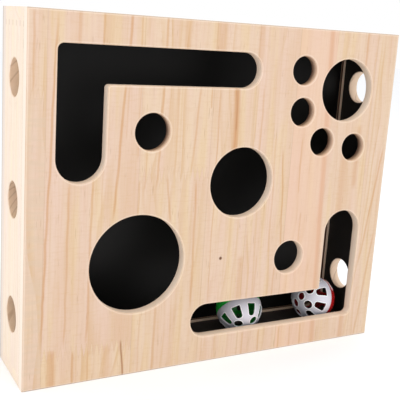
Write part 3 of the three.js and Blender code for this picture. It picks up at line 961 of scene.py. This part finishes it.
bm = bmesh.new()
bm.from_mesh(panel_mesh)
bmesh.ops.remove_doubles(bm, verts=bm.verts, dist=WELD)
lowest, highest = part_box("front_panel")
edges = [edge for edge in bm.edges if is_cut_or_front(edge, lowest, highest)]
bmesh.ops.bevel(
    bm, geom=edges, offset=ARRIS * MM, segments=4, profile=0.5, affect="EDGES", material=-1,
    clamp_overlap=True,
)
flat = [face for face in bm.faces if all(abs(v.co.y - lowest.y) < SAME for v in face.verts)]
bmesh.ops.inset_region(bm, faces=flat, thickness=BAND * MM, use_even_offset=True)
rim_share = bm.verts.layers.float.new("rim")
inner = {v for face in flat for v in face.verts}
for vert in bm.verts:
    vert[rim_share] = 0.0 if vert in inner else 1.0
bm.to_mesh(panel_mesh)
bm.free()
panel_mesh.shade_smooth()
panel_mesh.set_sharp_from_angle(angle=math.radians(40))
panel = new_piece("front_panel_dressed", panel_mesh, front_pine.material, "pine_front", "box", "front_panel")
shade_evenly(panel)
print("front panel faces:", len(panel_mesh.polygons))

# %% [markdown]
# ## Lattice balls
#
# A half shell is a profile spun round its pole, then pierced: a hole at the pole, four round holes and
# eight windows that narrow towards the pole. Each opening has a low raised lip, made by a slightly
# wider set of the same shapes that cuts a thin skin. Moulded plastic has no sharp edges, so the pierced
# shell is remeshed finely and smoothed, which rounds every lip by the same amount. Sizes are in
# millimetres, and colatitudes in degrees from the pole. A window has its length, its width at the seam's
# end and at the pole's end, and one corner radius for each end.

# %% Half shells
POLE_HOLE, RING_HOLE = 3.6, 4.0
RING_COLATITUDE, WINDOW_COLATITUDE = 28.5, 56.5
WINDOW = (11.4, 8.6, 5.6)
WINDOW_CORNERS = ((-1, 2.3), (1, 0.9))
LIP_WIDTH, LIP_HEIGHT = 0.55, 0.25
SKIN_DEPTH, SKIN_START = 0.6, 1.5
SEAM_LINE, LAP_DEPTH, LAP_PLAY, NECK_PLAY = 0.1, 1.5, 0.2, 0.1
ARC_STEPS, TURN_STEPS = 28, 96
VOXEL = 0.3


def spun(name, profile, closed=False):
    """The solid that a profile of radius and height, in millimetres, makes round +Z."""
    bm = bmesh.new()
    verts = [bm.verts.new(Vector((r, 0, z)) * MM) for r, z in profile]
    ends = verts[1:] + verts[:1] if closed else verts[1:]
    for first, second in zip(verts, ends):
        bm.edges.new((first, second))
    bmesh.ops.spin(
        bm, geom=list(bm.verts) + list(bm.edges), cent=(0, 0, 0), axis=(0, 0, 1),
        angle=2 * math.pi, steps=TURN_STEPS, use_merge=True,
    )
    bmesh.ops.remove_doubles(bm, verts=bm.verts, dist=WELD)
    return solid_from(bm, name)


def arc(radius, angles):
    """Points at angles above the seam."""
    return [(radius * math.cos(a), radius * math.sin(a)) for a in angles]


def half_shell(name, tongue):
    """One half with its pole on +Z. Its seam has a tongue or the socket for one."""
    inner, lap = BALL - WALL, BALL - WALL / 2
    angles = [math.pi / 2 * k / ARC_STEPS for k in range(ARC_STEPS + 1)]
    outer_arc = arc(BALL, angles)
    inner_arc = arc(inner, angles)
    outer_arc[0] = (BALL, SEAM_LINE)
    if tongue:
        neck = lap - NECK_PLAY
        edge = [(inner, 0), (inner, -LAP_DEPTH), (neck, -LAP_DEPTH), (neck, SEAM_LINE)]
        return spun(name, inner_arc[:0:-1] + edge + outer_arc)
    floor_height = LAP_DEPTH + LAP_PLAY
    rest = [point for point in inner_arc[:0:-1] if point[1] > floor_height]
    edge = [(inner, floor_height), (lap, floor_height), (lap, SEAM_LINE)]
    return spun(name, rest + edge + outer_arc)


def skin():
    """A thin dome that stands a little proud of the shell, from which the lips are cut."""
    span = 90 - SKIN_START
    angles = [math.radians(SKIN_START + span * k / ARC_STEPS) for k in range(ARC_STEPS + 1)]
    outer_arc = arc(BALL + LIP_HEIGHT, angles)
    inner_arc = arc(BALL - SKIN_DEPTH, angles[::-1])
    return spun("skin", outer_arc + inner_arc, closed=True)


def lattice_cutter(wider):
    """All that pierces one half: the pole's hole, four round holes and eight windows."""
    bm = bmesh.new()

    def at(colatitude, azimuth):
        about = Matrix.Rotation(math.radians(azimuth), 4, "Z")
        down = Matrix.Rotation(math.radians(colatitude), 4, "Y")
        return about @ down @ Matrix.Translation((0, 0, BALL * MM))

    def pierce(radius, place):
        radius = (radius + wider) * MM
        bmesh.ops.create_cone(
            bm, cap_ends=True, segments=40, radius1=radius, radius2=radius, depth=8 * MM, matrix=place
        )

    def window(place):
        length, wide, narrow = (size + 2 * wider for size in WINDOW)
        part = bmesh.new()
        bmesh.ops.create_cube(part, size=1.0)
        bmesh.ops.scale(part, vec=Vector((length, wide, 8.0)) * MM, verts=part.verts)
        polar = [v for v in part.verts if v.co.x < 0]
        bmesh.ops.scale(part, vec=(1, narrow / wide, 1), verts=polar)
        for end, radius in WINDOW_CORNERS:
            upright = [e for e in part.edges if abs(e.verts[0].co.z - e.verts[1].co.z) > 4 * MM]
            posts = [e for e in upright if e.verts[0].co.x * end > 0]
            bmesh.ops.bevel(
                part, geom=posts, offset=(radius + wider) * MM, segments=6, profile=0.5,
                affect="EDGES", material=-1,
            )
        bmesh.ops.transform(part, matrix=place, verts=part.verts)
        add_part(bm, part)

    pierce(POLE_HOLE, at(0, 0))
    for k in range(4):
        pierce(RING_HOLE, at(RING_COLATITUDE, 22.5 + 90 * k))
    for k in range(8):
        window(at(WINDOW_COLATITUDE, 45 * k))
    return solid_from(bm, "lattice_cutter")


cutter = lattice_cutter(0.0)
wide_cutter = lattice_cutter(LIP_WIDTH)
lips = skin()
carve(lips, wide_cutter, "INTERSECT")
shells = {}
for kind in ("tongue", "socket"):
    shell = half_shell(kind, kind == "tongue")
    carve(shell, lips, "UNION")
    carve(shell, cutter)
    fine = shell.modifiers.new("fine", "REMESH")
    fine.mode = "VOXEL"
    fine.voxel_size = VOXEL * MM
    soft = shell.modifiers.new("soft", "SMOOTH")
    soft.factor = 0.5
    soft.iterations = 3
    shells[kind] = baked(shell)
    print(kind, "half:", len(shells[kind].polygons), "faces")
for tool in (cutter, wide_cutter, lips):
    bpy.data.objects.remove(tool)

# %% Balls in place
for colour, data in BALLS.items():
    spot = Matrix.Translation(place_mm(*data["centre"]))
    aim = Matrix.Rotation(math.radians(data["azimuth"]), 4, "Z")
    aim = aim @ Matrix.Rotation(math.radians(90 - data["elevation"]), 4, "Y")
    spin = Matrix.Rotation(math.radians(data["spin"]), 4, "Z")
    over = Matrix.Rotation(math.pi, 4, "X") @ Matrix.Rotation(math.radians(-data["spin"]), 4, "Z")
    for kind, own, turn in (("tongue", "white", spin), ("socket", colour, over)):
        mesh = shells[kind].copy()
        mesh.transform(spot @ aim @ turn)
        mesh.shade_smooth()
        new_piece(
            f"{colour}_ball_{own}_shell", mesh, plastics[colour, own], f"{own}_plastic",
            f"{colour}_ball", f"{colour}_ball_{own}_half",
        )
    for inner in ("bell", "pellet"):
        dressed(f"{colour}_ball_{inner}", steel.material, "bell_steel", ease=0, angle=40)

# %% [markdown]
